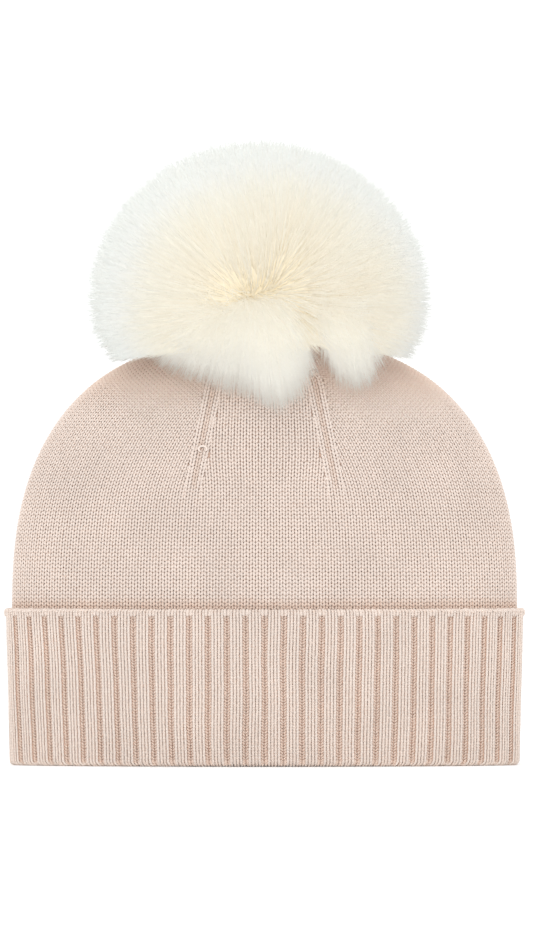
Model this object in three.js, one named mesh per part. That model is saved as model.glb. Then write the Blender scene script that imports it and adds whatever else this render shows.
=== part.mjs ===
// Pom pom beanie: a ribbed turn-up cuff, a jersey crown and a fur pom pom on a snap fastener.
// Millimetres, +Z up, the wearer's face towards -Y. The origin is the centre of the opening,
// on the flat rim that the cuff rests on.
// The knit is drawn as it stands when lightly filled: two bowed faces that meet in soft side folds.

import * as THREE from 'three';
import { mergeVertices } from 'three/addons/utils/BufferGeometryUtils.js';

// ---- Driving dimensions --------------------------------------------------------------------

const GAP = 0.4;                 // between pieces that touch on the real hat
const PLAN_STEPS = 48;           // facets round each knitted ring
const TURNED_STEPS = 20;         // facets round the pom and the snap fastener
const FOLD_POWER = 1.3;          // 1 is an ellipse; more makes the side folds tighter

// The cuff, folded up outside the band.
const CUFF_HEIGHT = 65;
const CUFF_HALF_WIDTH = 108;     // at its top edge
const CUFF_HALF_DEPTH = 36;
const CUFF_TAPER = 1.6;          // how much narrower each side is at the rim
const CUFF_WALL = 2.8;
const RIM_THICKNESS = 3;         // of the fold that closes the cuff to the band
const RIM_ROUND = 2.4;
const EDGE_ROUND = 0.9;          // at the cuff's free top edge

// The band behind the cuff and the crown above it.
const BAND_WALL = 2.6;
const BAND_TOP = 50;
const CROWN_WALL = 2.2;
const CROWN_BASE_Z = CUFF_HEIGHT;
const CROWN_HEIGHT = 113;        // from the cuff's top edge to the gathered top
const CROWN_POWER = 2.5;         // exponent of the crown's superellipse outline
const CROWN_ROWS = 13;
const CROWN_HOLE = 3.2;          // radius left open by the gathering yarn, for the snap's post
const CROWN_TOP_Z = CROWN_BASE_Z + CROWN_HEIGHT;
const CROWN_HALF_WIDTH = CUFF_HALF_WIDTH - CUFF_WALL - GAP;
const CROWN_HALF_DEPTH = CUFF_HALF_DEPTH - CUFF_WALL - GAP;

// Yarns and label inside.
const YARN_RADIUS = 0.7;
const GATHER_RING_RADIUS = 7.2;
const LABEL_WIDTH = 21;
const LABEL_HEIGHT = 24;
const LABEL_THICKNESS = 0.5;
const LABEL_SIDE = 3;            // distance from the back seam
const LABEL_TOP_Z = 84;
const LABEL_STANDOFF = 3.2;      // clear of the curved wall behind it

// Snap fastener, all turned about the Z axis.
const POST_RADIUS = 1.5;
const POST_HEAD_RADIUS = 6;
const BORE_RADIUS = POST_RADIUS + GAP;
const WASHER_RADIUS = 8.5;
const WASHER_THICKNESS = 1.4;
const STUD_FLANGE_RADIUS = 5.2;
const STUD_NECK_RADIUS = 2.8;
const STUD_HEAD_RADIUS = 3.3;
const SPRING_RING_RADIUS = 4.4;
const SPRING_WIRE_RADIUS = 0.4;
const SOCKET_RADIUS = 6.6;
const SOCKET_MOUTH_RADIUS = 3.8;

// Pom pom.
const BALL_RADIUS = 22;          // over the backing that the fur grows from
const BALL_Z = CROWN_TOP_Z + 29.2;
const BACKING_WALL = 1.6;
const BALL_MOUTH_RADIUS = 7.6;
const BASE_DISC_RADIUS = 13;
const FUR_RADIUS = 69;
const FUR_HALF_HEIGHT = 64.5;
const FUR_CENTRE_Z = CROWN_TOP_Z + 15;
const FUR_LIFT = 2.6;            // clear of the crown all round, so that the pom can turn

// ---- Helpers ------------------------------------------------------------------------------------

const yarnColour = 0xe0cbbd;
const furColour = 0xf2eddd;

function material(color, roughness, metalness = 0) {
  return new THREE.MeshStandardMaterial({ color, roughness, metalness });
}

function piece(name, geometry, look) {
  const mesh = new THREE.Mesh(geometry, look);
  mesh.name = name;
  return mesh;
}

// A point of a plan outline with two bowed faces that meet in a fold at each side.
function planPoint(row, angle) {
  const bow = Math.abs(Math.sin(angle)) ** row.power;
  return [
    row.halfWidth * Math.cos(angle),
    row.halfDepth * Math.sign(Math.sin(angle)) * bow,
    row.z,
  ];
}

// A closed ring: a loop of rows, each a plan outline at its own height, going up outside
// and down inside.
function knittedRing(rows) {
  const positions = [];
  for (const row of rows) {
    for (let i = 0; i < PLAN_STEPS; i += 1) {
      positions.push(...planPoint(row, (2 * Math.PI * i) / PLAN_STEPS));
    }
  }
  const index = [];
  for (let r = 0; r < rows.length; r += 1) {
    const above = (r + 1) % rows.length;
    for (let i = 0; i < PLAN_STEPS; i += 1) {
      const next = (i + 1) % PLAN_STEPS;
      const a = r * PLAN_STEPS + i;
      const b = r * PLAN_STEPS + next;
      const c = above * PLAN_STEPS + next;
      const d = above * PLAN_STEPS + i;
      index.push(a, b, c, a, c, d);
    }
  }
  const geometry = new THREE.BufferGeometry();
  geometry.setAttribute('position', new THREE.Float32BufferAttribute(positions, 3));
  geometry.setIndex(index);
  geometry.computeVertexNormals();
  return geometry;
}

function bandRow(halfWidth, halfDepth, z) {
  return { halfWidth, halfDepth, z, power: FOLD_POWER };
}

// The outline of the cuff's outside at height z, moved in by inset.
function cuffRow(z, inset) {
  const narrowing = CUFF_TAPER * (1 - z / CUFF_HEIGHT);
  return bandRow(CUFF_HALF_WIDTH - narrowing - inset, CUFF_HALF_DEPTH - narrowing - inset, z);
}

// The crown's section at a share of its height: wide and flat low down, round at the top.
function crownRow(share, inset) {
  const halfWidth = (CROWN_HALF_WIDTH - inset) * share;
  const flatDepth = (CROWN_HALF_DEPTH - inset) * share;
  const rounding = (1 - share) ** 6;
  const rise = (1 - share ** CROWN_POWER) ** (1 / CROWN_POWER);
  return {
    halfWidth,
    halfDepth: flatDepth + (halfWidth - flatDepth) * rounding,
    z: CROWN_BASE_Z + (CROWN_HEIGHT - inset) * rise,
    power: 1 + (FOLD_POWER - 1) * Math.min(1, 2 * share),
  };
}

// Rows from the crown's base to its top hole, closer together where it curves most.
function crownRows(inset) {
  const lastShare = CROWN_HOLE / (CROWN_HALF_WIDTH - inset);
  const lastAngle = Math.acos(lastShare ** (CROWN_POWER / 2));
  const rows = [];
  for (let i = 0; i <= CROWN_ROWS; i += 1) {
    const share = Math.cos((lastAngle * i) / CROWN_ROWS) ** (2 / CROWN_POWER);
    rows.push(crownRow(share, inset));
  }
  return rows;
}

// A solid of revolution about Z from a list of [radius, z] points.
function turned(points, closed = false) {
  const outline = points.map(([radius, z]) => new THREE.Vector2(radius, z));
  if (closed) {
    outline.push(outline[0].clone());
  }
  const geometry = new THREE.LatheGeometry(outline, TURNED_STEPS);
  geometry.rotateX(Math.PI / 2);
  geometry.deleteAttribute('uv');
  geometry.deleteAttribute('normal');
  const welded = mergeVertices(geometry, 1e-4);
  welded.computeVertexNormals();
  return welded;
}

// Points on a circular arc in the radius-height plane, angles in degrees from the +radius axis.
function arc(radius, centreZ, fromDegrees, toDegrees, steps, height = radius) {
  const points = [];
  for (let i = 0; i <= steps; i += 1) {
    const angle = THREE.MathUtils.degToRad(fromDegrees + ((toDegrees - fromDegrees) * i) / steps);
    const r = radius * Math.cos(angle);
    points.push([Math.abs(r) < 1e-6 ? 0 : r, centreZ + height * Math.sin(angle)]);
  }
  return points;
}

// A ring of yarn about the Z axis.
function yarnRing(ringRadius, yarnRadius, z) {
  const section = [];
  for (let i = 0; i < 8; i += 1) {
    const angle = (2 * Math.PI * i) / 8;
    section.push([ringRadius + yarnRadius * Math.cos(angle), z + yarnRadius * Math.sin(angle)]);
  }
  return turned(section, true);
}

// A round yarn or wire along a list of points.
function strand(points, radius, steps) {
  const section = new THREE.Shape();
  section.absarc(0, 0, radius, 0, 2 * Math.PI);
  return new THREE.ExtrudeGeometry(section, {
    extrudePath: new THREE.CatmullRomCurve3(points),
    steps,
    curveSegments: 4,
  });
}

// ---- Knitted pieces ------------------------------------------------------------------------------

function cuffTurnUp() {
  const inner = CUFF_WALL;
  const rimInner = CUFF_WALL + GAP + BAND_WALL;
  return knittedRing([
    cuffRow(0, RIM_ROUND),
    cuffRow(RIM_ROUND * 0.3, RIM_ROUND * 0.3),
    cuffRow(RIM_ROUND, 0),
    cuffRow(CUFF_HEIGHT / 2, 0),
    cuffRow(CUFF_HEIGHT - EDGE_ROUND, 0),
    cuffRow(CUFF_HEIGHT, EDGE_ROUND),
    cuffRow(CUFF_HEIGHT, inner - EDGE_ROUND),
    cuffRow(CUFF_HEIGHT - EDGE_ROUND, inner),
    cuffRow(RIM_THICKNESS, inner),
    cuffRow(RIM_THICKNESS, rimInner),
    cuffRow(0, rimInner),
  ]);
}

function ribBand() {
  const outside = CUFF_WALL + GAP;
  const bottom = RIM_THICKNESS + GAP;
  return knittedRing([
    cuffRow(bottom, outside),
    cuffRow(BAND_TOP, outside),
    cuffRow(BAND_TOP, outside + BAND_WALL),
    cuffRow(bottom, outside + BAND_WALL),
  ]);
}

function crownShell() {
  const skirt = BAND_TOP + GAP;
  const outside = crownRows(0);
  const inside = crownRows(CROWN_WALL).reverse();
  const tuck = CUFF_TAPER * (1 - skirt / CUFF_HEIGHT);
  return knittedRing([
    bandRow(CROWN_HALF_WIDTH - tuck, CROWN_HALF_DEPTH - tuck, skirt),
    ...outside,
    ...inside,
    bandRow(CROWN_HALF_WIDTH - CROWN_WALL - tuck, CROWN_HALF_DEPTH - CROWN_WALL - tuck, skirt),
  ]);
}

// The linking yarn runs up the inside of the centre back, from the rim almost to the top.
function backSeamYarn() {
  const clear = YARN_RADIUS + GAP;
  const bandFace = cuffRow(RIM_THICKNESS, CUFF_WALL + GAP + BAND_WALL).halfDepth;
  const points = [
    new THREE.Vector3(0, bandFace - clear, RIM_THICKNESS + 2),
    new THREE.Vector3(0, bandFace - clear, BAND_TOP),
  ];
  for (const share of [1, 0.985, 0.94, 0.86, 0.74, 0.6]) {
    const row = crownRow(share, CROWN_WALL + clear);
    points.push(new THREE.Vector3(0, row.halfDepth, row.z));
  }
  return strand(points, YARN_RADIUS, 18);
}

function knitwear() {
  const group = new THREE.Group();
  const rib = material(0xe2cec0, 0.95);
  const jersey = material(yarnColour, 0.95);
  const thread = material(0xd8c2b2, 0.9);
  const gatherZ = CROWN_TOP_Z + GAP + YARN_RADIUS;
  group.add(piece('cuff_turn_up', cuffTurnUp(), rib));
  group.add(piece('rib_band', ribBand(), rib));
  group.add(piece('crown_shell', crownShell(), jersey));
  group.add(piece('back_seam_yarn', backSeamYarn(), thread));
  group.add(piece('crown_gather_yarn', yarnRing(GATHER_RING_RADIUS, YARN_RADIUS, gatherZ), thread));
  return group;
}

// A blank satin label hangs from its stitched top edge, beside the back seam.
function label() {
  const group = new THREE.Group();
  const satin = material(0xf4efe8, 0.5);
  const thread = material(0xe9dfd2, 0.8);
  const wall = crownRow(0.99, CROWN_WALL).halfDepth - LABEL_STANDOFF;
  const middleX = LABEL_SIDE + LABEL_WIDTH / 2;

  const tape = new THREE.BoxGeometry(LABEL_WIDTH, LABEL_THICKNESS, LABEL_HEIGHT);
  const tapePiece = piece('care_label', tape, satin);
  tapePiece.position.set(middleX, wall, LABEL_TOP_Z - LABEL_HEIGHT / 2);
  group.add(tapePiece);

  const stitch = new THREE.BoxGeometry(LABEL_WIDTH - 2, 0.5, 0.8);
  const stitchPiece = piece('label_stitching', stitch, thread);
  stitchPiece.position.set(middleX, wall + 0.5 + GAP, LABEL_TOP_Z - 1.2);
  group.add(stitchPiece);
  return group;
}

// ---- Snap fastener --------------------------------------------------------------------------------

// Heights of the fastener's faces, from the inside of the hat up to the pom.
const washerTop = CROWN_TOP_Z - CROWN_WALL - 1.4;
const washerBottom = washerTop - WASHER_THICKNESS;
const postHeadTop = washerBottom - GAP;
const studBottom = CROWN_TOP_Z + GAP;
const studNeck = studBottom + 1;
const studHead = studNeck + 1.4;
const studTop = studHead + 1.6;
const socketBottom = studNeck + GAP;
const socketLipTop = socketBottom + 0.3;
const springZ = socketLipTop + GAP + SPRING_WIRE_RADIUS;
const socketRoof = studTop + GAP;
const socketTop = socketRoof + 1;
const discBottom = socketTop + GAP;
const discTop = discBottom + 1.5;
const capBottom = discTop + GAP;
const capTop = capBottom + 1;

function snapPost() {
  return turned([
    [0, postHeadTop - 1],
    [POST_HEAD_RADIUS - 0.4, postHeadTop - 1],
    [POST_HEAD_RADIUS, postHeadTop - 0.5],
    [POST_HEAD_RADIUS, postHeadTop],
    [POST_RADIUS, postHeadTop],
    [POST_RADIUS, studHead],
    [0, studHead],
  ]);
}

function feltWasher() {
  return turned([
    [BORE_RADIUS, washerBottom],
    [WASHER_RADIUS, washerBottom],
    [WASHER_RADIUS, washerTop],
    [BORE_RADIUS, washerTop],
  ], true);
}

function snapStud() {
  return turned([
    [BORE_RADIUS, studBottom],
    [STUD_FLANGE_RADIUS, studBottom],
    [STUD_FLANGE_RADIUS, studNeck - 0.3],
    [STUD_FLANGE_RADIUS - 0.4, studNeck],
    [STUD_NECK_RADIUS, studNeck],
    [STUD_NECK_RADIUS, studHead - 0.3],
    [STUD_HEAD_RADIUS, studHead + 0.3],
    [STUD_HEAD_RADIUS, studTop - 0.6],
    [STUD_HEAD_RADIUS - 0.6, studTop],
    [BORE_RADIUS, studTop],
  ], true);
}

function snapSpring() {
  const points = [];
  for (let i = 0; i <= 20; i += 1) {
    const angle = THREE.MathUtils.degToRad(15 + (330 * i) / 20);
    points.push(new THREE.Vector3(
      SPRING_RING_RADIUS * Math.cos(angle),
      SPRING_RING_RADIUS * Math.sin(angle),
      springZ,
    ));
  }
  return strand(points, SPRING_WIRE_RADIUS, 18);
}

function snapSocket() {
  const groove = SPRING_RING_RADIUS + SPRING_WIRE_RADIUS + GAP;
  return turned([
    [SOCKET_MOUTH_RADIUS, socketBottom],
    [SOCKET_RADIUS - 0.3, socketBottom],
    [SOCKET_RADIUS, socketLipTop],
    [SOCKET_RADIUS, socketTop - 0.4],
    [SOCKET_RADIUS - 0.4, socketTop],
    [BORE_RADIUS, socketTop],
    [BORE_RADIUS, socketRoof],
    [groove, socketRoof],
    [groove, socketLipTop],
    [SOCKET_MOUTH_RADIUS, socketLipTop],
  ], true);
}

function snapCap() {
  return turned([
    [0, socketRoof + 0.3],
    [POST_RADIUS, socketRoof + 0.3],
    [POST_RADIUS, capBottom],
    [POST_HEAD_RADIUS, capBottom],
    [POST_HEAD_RADIUS, capTop - 0.4],
    [POST_HEAD_RADIUS - 0.5, capTop],
    [0, capTop],
  ]);
}

function snapFastener() {
  const group = new THREE.Group();
  const brass = material(0xc9b48a, 0.35, 0.9);
  const wire = material(0xb9bcc0, 0.3, 1);
  const felt = material(0xe6ddd0, 1);
  group.add(piece('felt_washer', feltWasher(), felt));
  group.add(piece('snap_post', snapPost(), brass));
  group.add(piece('snap_stud', snapStud(), brass));
  group.add(piece('snap_spring', snapSpring(), wire));
  group.add(piece('snap_socket', snapSocket(), brass));
  group.add(piece('snap_cap', snapCap(), brass));
  return group;
}

// ---- Pom pom --------------------------------------------------------------------------------------

// The angle below the horizontal at which a ball of this radius has a mouth of the given radius.
function mouthAngle(ballRadius, mouthRadius) {
  return -THREE.MathUtils.radToDeg(Math.acos(mouthRadius / ballRadius));
}

function pomBaseDisc() {
  return turned([
    [BORE_RADIUS, discBottom],
    [BASE_DISC_RADIUS, discBottom],
    [BASE_DISC_RADIUS, discTop],
    [BORE_RADIUS, discTop],
  ], true);
}

function pomCore() {
  const radius = BALL_RADIUS - BACKING_WALL - GAP;
  const floor = capTop + GAP;
  const start = -THREE.MathUtils.radToDeg(Math.asin((BALL_Z - floor) / radius));
  return turned([[0, floor], ...arc(radius, BALL_Z, start, 90, 10)]);
}

function pomBacking() {
  const innerRadius = BALL_RADIUS - BACKING_WALL;
  return turned([
    ...arc(innerRadius, BALL_Z, 90, mouthAngle(innerRadius, BALL_MOUTH_RADIUS), 10),
    ...arc(BALL_RADIUS, BALL_Z, mouthAngle(BALL_RADIUS, BALL_MOUTH_RADIUS), 90, 11),
  ]);
}

// The pile's outer shape: an ellipsoid whose underside follows the crown it sits on.
function pomFur() {
  const innerRadius = BALL_RADIUS + GAP;
  const underside = [24, 36, 48, 57].map((radius) => [
    radius,
    crownRow(radius / CROWN_HALF_WIDTH, 0).z + FUR_LIFT,
  ]);
  const lowest = -25;
  return turned([
    ...arc(innerRadius, BALL_Z, 90, mouthAngle(innerRadius, BASE_DISC_RADIUS + 3), 9),
    ...underside,
    ...arc(FUR_RADIUS, FUR_CENTRE_Z, lowest, 90, 13, FUR_HALF_HEIGHT),
  ]);
}

function pomPom() {
  const group = new THREE.Group();
  const thread = material(0xd9cfb8, 0.9);
  const ringZ = discTop + GAP + YARN_RADIUS;
  group.add(piece('pom_base_disc', pomBaseDisc(), material(0xe9dfc8, 0.9)));
  group.add(piece('pom_gather_yarn', yarnRing(BASE_DISC_RADIUS - 1.6, YARN_RADIUS, ringZ), thread));
  group.add(piece('pom_core', pomCore(), material(0xf5f3ee, 1)));
  group.add(piece('pom_backing', pomBacking(), material(0xe8dcbc, 1)));
  group.add(piece('pom_fur', pomFur(), material(furColour, 1)));
  return group;
}

const beanie = new THREE.Group();
beanie.add(knitwear());
beanie.add(label());
beanie.add(snapFastener());
beanie.add(pomPom());

export default beanie;
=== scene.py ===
"""The looks of a pom pom beanie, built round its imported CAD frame.

The knit is made stitch by stitch: every leg of every V is a small closed tapered tube, laid along
the wales of the crown, the cuff and the band, in front of a closed ground fabric. The pom's pile
is made hair by hair over an opaque underfur, and the bag round its stuffing is puffed up by a
cloth simulation. Sizes are in millimetres until a mesh is made, and are worked out from the
frame's boxes where they can be.
"""

import math

import bmesh
import bpy
import numpy as np
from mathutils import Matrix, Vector, kdtree


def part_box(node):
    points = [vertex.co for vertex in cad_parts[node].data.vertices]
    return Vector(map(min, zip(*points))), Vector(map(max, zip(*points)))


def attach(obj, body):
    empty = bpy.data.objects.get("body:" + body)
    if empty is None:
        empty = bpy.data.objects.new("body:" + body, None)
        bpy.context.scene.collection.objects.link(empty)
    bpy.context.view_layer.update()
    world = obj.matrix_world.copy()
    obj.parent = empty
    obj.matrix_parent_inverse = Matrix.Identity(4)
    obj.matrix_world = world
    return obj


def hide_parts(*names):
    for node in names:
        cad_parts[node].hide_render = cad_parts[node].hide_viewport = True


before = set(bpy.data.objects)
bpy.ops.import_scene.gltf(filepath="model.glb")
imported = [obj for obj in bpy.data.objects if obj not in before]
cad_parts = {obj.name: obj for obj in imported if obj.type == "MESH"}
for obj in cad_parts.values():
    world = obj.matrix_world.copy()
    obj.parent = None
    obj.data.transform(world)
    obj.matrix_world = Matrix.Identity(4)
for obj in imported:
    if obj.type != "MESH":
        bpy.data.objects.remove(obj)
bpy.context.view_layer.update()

MM = 0.001


def box_mm(node):
    """The lowest and highest corner of a CAD node, in millimetres."""
    low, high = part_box(node)
    return np.array(low) / MM, np.array(high) / MM


# ---- Sizes -------------------------------------------------------------------------------------

CUFF_HIGH = box_mm("cuff_turn_up")[1]
BAND_LOW, BAND_HIGH = box_mm("rib_band")
CROWN_LOW, CROWN_HIGH = box_mm("crown_shell")
FUR_HIGH = box_mm("pom_fur")[1]
BALL_LOW, BALL_HIGH = box_mm("pom_backing")
CORE_LOW, CORE_HIGH = box_mm("pom_core")

FOLD_POWER = 1.3                 # 1 is an ellipse; more makes the side folds tighter
CUFF_HEIGHT = CUFF_HIGH[2]
CUFF_TAPER = 1.6                 # how much narrower each side is at the rim
CUFF_WALL = 2.8
RIM_THICKNESS = 3.0
BAND_WALL = 2.6
GAP = 0.4                        # between pieces that touch on the real hat
CROWN_WALL = 2.2
CROWN_POWER = 2.5                # exponent of the crown's outline
CROWN_HOLE = 3.2
CROWN_HEIGHT = round(CROWN_HIGH[2]) - CUFF_HEIGHT
CROWN_TOP = CUFF_HEIGHT + CROWN_HEIGHT
SKIRT_ROWS = 40                  # of the crown's outline, behind the cuff
DOME_ROWS = 600                  # of the crown's outline, above it

RIBS = 60                        # round the whole hat
KNIT_SHARE = 0.34                # each of a rib's two knit wales, as a share of a rib's width
RIB_COURSE = 1.19
RIB_DEPTH = 1.1                  # from the ribs down to the channels
EDGE_BAND = 2.9                  # the cast-off edge, where the channels end

WALES = 180                      # round the crown
WALE_WIDTH = 2.4
COURSE = 1.58
DART_FOOT_Z = 114.0
DART_WALE = 12                   # of the wales from the middle of the face
DART_HALF_WALES = 1
DART_HEAD_Z = 158.0
DART_HEAD_X = 21.0

FACE_DEPTH = 0.55                # of the middle of the stitches, behind the CAD's surface
BAND_FACE_DEPTH = 0.7

HAIRS = 80000
LOCKS = 6000                     # groups of the hairs whose tips lean together
DRAPED_HAIRS = 11000
HAIR_RADIUS = 0.125
UNDERFUR = 0.84                  # how far out the dense short fur reaches, as a share
TRIANGLES_PER_PIECE = 196000     # at most, in each piece that a heap is split into; the export allows 200,000
SEED = 20240

rng = np.random.default_rng(SEED)


# ---- Small helpers -----------------------------------------------------------------------------

def unit(vectors):
    """Vectors of length 1."""
    length = np.linalg.norm(vectors, axis=-1, keepdims=True)
    return vectors / np.maximum(length, 1e-12)


def smooth(value, start, end):
    """0 before start, 1 after end, with a soft step between them."""
    share = np.clip((value - start) / (end - start), 0, 1)
    return share * share * (3 - 2 * share)


def hump(value, start, full, fall, end):
    """0 outside start to end, and 1 from full to fall, with soft steps between them."""
    return smooth(value, start, full) * (1 - smooth(value, fall, end))


def add_object(name, data):
    """A new object in the scene."""
    made = bpy.data.objects.new(name, data)
    bpy.context.scene.collection.objects.link(made)
    return made


def mesh_object(name, points, faces, tone=None):
    """A smooth-shaded mesh object. points are in millimetres. faces is an array with a row for
    each face, or a pair: the corners of all faces one after another, and how many each has."""
    loops, sizes = faces if isinstance(faces, tuple) else (
        faces.ravel(), np.full(len(faces), faces.shape[1]))
    mesh = bpy.data.meshes.new(name)
    mesh.vertices.add(len(points))
    mesh.vertices.foreach_set("co", (points * MM).astype(np.float32).ravel())
    mesh.loops.add(len(loops))
    mesh.loops.foreach_set("vertex_index", loops.astype(np.int32))
    starts = np.concatenate([[0], np.cumsum(sizes)[:-1]]).astype(np.int32)
    mesh.polygons.add(len(sizes))
    mesh.polygons.foreach_set("loop_start", starts)
    mesh.polygons.foreach_set("use_smooth", np.ones(len(sizes), bool))
    if tone is not None:
        attribute = mesh.attributes.new("tone", "FLOAT", "POINT")
        attribute.data.foreach_set("value", tone.astype(np.float32).ravel())
    mesh.update(calc_edges=True)
    return add_object(name, mesh)


def merge_doubles(piece):
    """Joins the points of a piece that lie in one place."""
    mesh = bmesh.new()
    mesh.from_mesh(piece.data)
    bmesh.ops.remove_doubles(mesh, verts=mesh.verts, dist=1e-6)
    mesh.to_mesh(piece.data)
    mesh.free()


def thicken(piece, thickness):
    """Gives a cloth its thickness, half of it on each side."""
    solid = piece.modifiers.new("thickness", "SOLIDIFY")
    solid.thickness = thickness * MM
    solid.offset = 0


def settle(piece, material, body, node):
    """Gives a piece its material, the body it rides on and the CAD node it stands for."""
    piece.data.materials.clear()
    piece.data.materials.append(material)
    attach(piece, body)
    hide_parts(node)
    return piece


def grid_faces(rows, columns, wrap_rows=True, wrap_columns=True):
    """The quads of a grid of points. A way that wraps comes back to where it began."""
    i, j = np.meshgrid(np.arange(rows if wrap_rows else rows - 1),
                       np.arange(columns if wrap_columns else columns - 1), indexing="ij")
    above, beside = (i + 1) % rows, (j + 1) % columns
    return np.stack([i * columns + j, i * columns + beside,
                     above * columns + beside, above * columns + j], -1).reshape(-1, 4)


def closed_grid(name, points, tone=None):
    """A surface closed both ways from a grid of points: rows of rings that come back to the
    first row, as a sleeve with an inside and an outside does."""
    quads = grid_faces(*points.shape[:2])
    flat = points.reshape(-1, 3)
    a, b, c, d = (flat[quads[:, k]] for k in range(4))
    volume = (np.cross(a, b) * c).sum() + (np.cross(a, c) * d).sum()
    return mesh_object(name, flat, quads if volume >= 0 else quads[:, ::-1], tone)


def ring_points(around, radius, z):
    """A grid of points round the Z axis: a row for each angle, a column for each radius."""
    return np.stack(np.broadcast_arrays(
        np.cos(around)[:, None] * radius, np.sin(around)[:, None] * radius, z), -1)


def tube_mesh(centres, radii, outs, sides, flatten=1.0):
    """Closed tubes, all alike in make. centres is (count, rings, 3), radii (count, rings), and
    outs the direction that each tube's flat side faces."""
    count, rings = radii.shape
    tangent = unit(np.gradient(centres, axis=1))
    across = unit(np.cross(tangent, outs[:, None, :]))
    up = np.cross(across, tangent)
    angle = 2 * math.pi * np.arange(sides) / sides
    ring = (np.cos(angle)[:, None] * across[:, :, None, :]
            + flatten * np.sin(angle)[:, None] * up[:, :, None, :])
    points = centres[:, :, None, :] + radii[:, :, None, None] * ring
    quads = grid_faces(rings, sides, wrap_rows=False)[:, [0, 3, 2, 1]].ravel().tolist()
    first_cap = list(range(sides))
    last_cap = [(rings - 1) * sides + j for j in range(sides)][::-1]
    pattern = np.array(quads + first_cap + last_cap)
    sizes = np.array([4] * (len(quads) // 4) + [sides, sides])
    offsets = np.arange(count)[:, None] * rings * sides
    return points.reshape(-1, 3), ((pattern + offsets).ravel(), np.tile(sizes, count))


class Heap:
    """Many small tubes that are made into a few pieces."""

    def __init__(self, sides, flatten=1.0):
        self.sides = sides
        self.flatten = flatten
        self.parts = []

    def add(self, centres, radii, outs, tone):
        """Adds tubes, given as tube_mesh takes them, and their tone."""
        self.parts.append((centres, radii, outs, np.broadcast_to(tone, radii.shape)))

    def make(self, name, material, body, slot, node):
        """Makes the pieces, name_1, name_2 and so on, and settles them."""
        centres, radii, outs, tone = (np.concatenate(column) for column in zip(*self.parts))
        rings = radii.shape[1]
        each = 2 * self.sides * (rings - 1) + 2 * (self.sides - 2)
        count = math.ceil(len(radii) * each / TRIANGLES_PER_PIECE)
        made = []
        for k, part in enumerate(np.array_split(np.arange(len(radii)), count)):
            points, faces = tube_mesh(
                centres[part], radii[part], outs[part], self.sides, self.flatten)
            tones = np.repeat(tone[part].ravel(), self.sides)
            own_name = name if count == 1 else f"{name}_{k + 1}"
            piece = mesh_object(own_name, points, faces, tones)
            made.append(settle(piece, material, body, node))
        return made


# ---- Materials ---------------------------------------------------------------------------------

def new_material(name):
    """A material and helpers to add nodes to it and to link them."""
    material = bpy.data.materials.new(name)
    material.use_nodes = True
    tree = material.node_tree
    shader = tree.nodes["Principled BSDF"]

    def add(kind, **settings):
        node = tree.nodes.new(kind)
        for key, value in settings.items():
            if key in node.inputs:
                node.inputs[key].default_value = value
            else:
                setattr(node, key, value)
        return node

    return material, shader, add, tree.links.new


def noise(add, link, coordinates, scale, detail=3.0):
    """Noise at the coordinates, from 0 to 1."""
    node = add("ShaderNodeTexNoise", Scale=scale, Detail=detail)
    link(coordinates, node.inputs["Vector"])
    return node.outputs["Fac"]


def spread(add, link, value, low, high, from_low=0.3, from_high=0.7):
    """A value, which for noise runs from about 0.3 to 0.7, brought to low and high."""
    node = add("ShaderNodeMapRange", **{
        "From Min": from_low, "From Max": from_high, "To Min": low, "To Max": high})
    link(value, node.inputs["Value"])
    return node.outputs["Result"]


def shaded(add, link, colour, first, second):
    """A colour, as an output or as three numbers, times two brightnesses."""
    product = add("ShaderNodeMath", operation="MULTIPLY")
    link(first, product.inputs[0])
    link(second, product.inputs[1])
    tint = add("ShaderNodeVectorMath", operation="SCALE")
    if isinstance(colour, tuple):
        tint.inputs[0].default_value = colour
    else:
        link(colour, tint.inputs[0])
    link(product.outputs[0], tint.inputs["Scale"])
    return tint.outputs["Vector"]


def relief(add, link, height, strength, distance, normal=None):
    """A bumped normal from a height, on top of another bumped normal if there is one."""
    node = add("ShaderNodeBump", Strength=strength, Distance=distance)
    link(height, node.inputs["Height"])
    if normal:
        link(normal, node.inputs["Normal"])
    return node.outputs["Normal"]


def fibre_material(name, stops, grain=2600.0, mottle=45.0, bump=0.25, roughness=0.9, sheen=0.3,
                   unevenness=1.0, ridges=0.0):
    """Soft fibre: its colour goes along stops by the piece's tone, with mottled brightness, fine
    fibres in the bump, and a soft sheen. stops is a list of (tone, colour). Where ridges isn't 0,
    it is the spacing in metres of the ridges of a knit's inner side."""
    material, shader, add, link = new_material(name)
    where = add("ShaderNodeTexCoord").outputs["Object"]
    tone = add("ShaderNodeAttribute", attribute_name="tone").outputs["Fac"]
    ramp = add("ShaderNodeValToRGB")
    elements = ramp.color_ramp.elements
    while len(elements) < len(stops):
        elements.new(0.5)
    for element, (place, colour) in zip(elements, stops):
        element.position = place
        element.color = (*colour, 1)
    link(tone, ramp.inputs["Fac"])
    change = 0.035 * unevenness
    light = spread(add, link, noise(add, link, where, mottle), 1 - change, 1 + change)
    fine = noise(add, link, where, grain, 2.0)
    fibre = spread(add, link, fine, 1 - 2 * change, 1 + 1.6 * change)
    link(shaded(add, link, ramp.outputs["Color"], light, fibre), shader.inputs["Base Color"])
    normal = relief(add, link, fine, bump, 0.0002)
    if ridges:
        loops = add("ShaderNodeTexWave", bands_direction="Z", Scale=math.pi / (10 * ridges),
                    Distortion=1.5, Detail=1.0)
        link(where, loops.inputs["Vector"])
        normal = relief(add, link, loops.outputs["Fac"], 0.7, 0.22 * ridges, normal)
    link(normal, shader.inputs["Normal"])
    link(spread(add, link, fine, roughness - 0.06, min(1.0, roughness + 0.06)),
         shader.inputs["Roughness"])
    shader.inputs["Specular IOR Level"].default_value = 0.2
    shader.inputs["Sheen Weight"].default_value = sheen
    shader.inputs["Sheen Roughness"].default_value = 0.5
    return material


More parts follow.
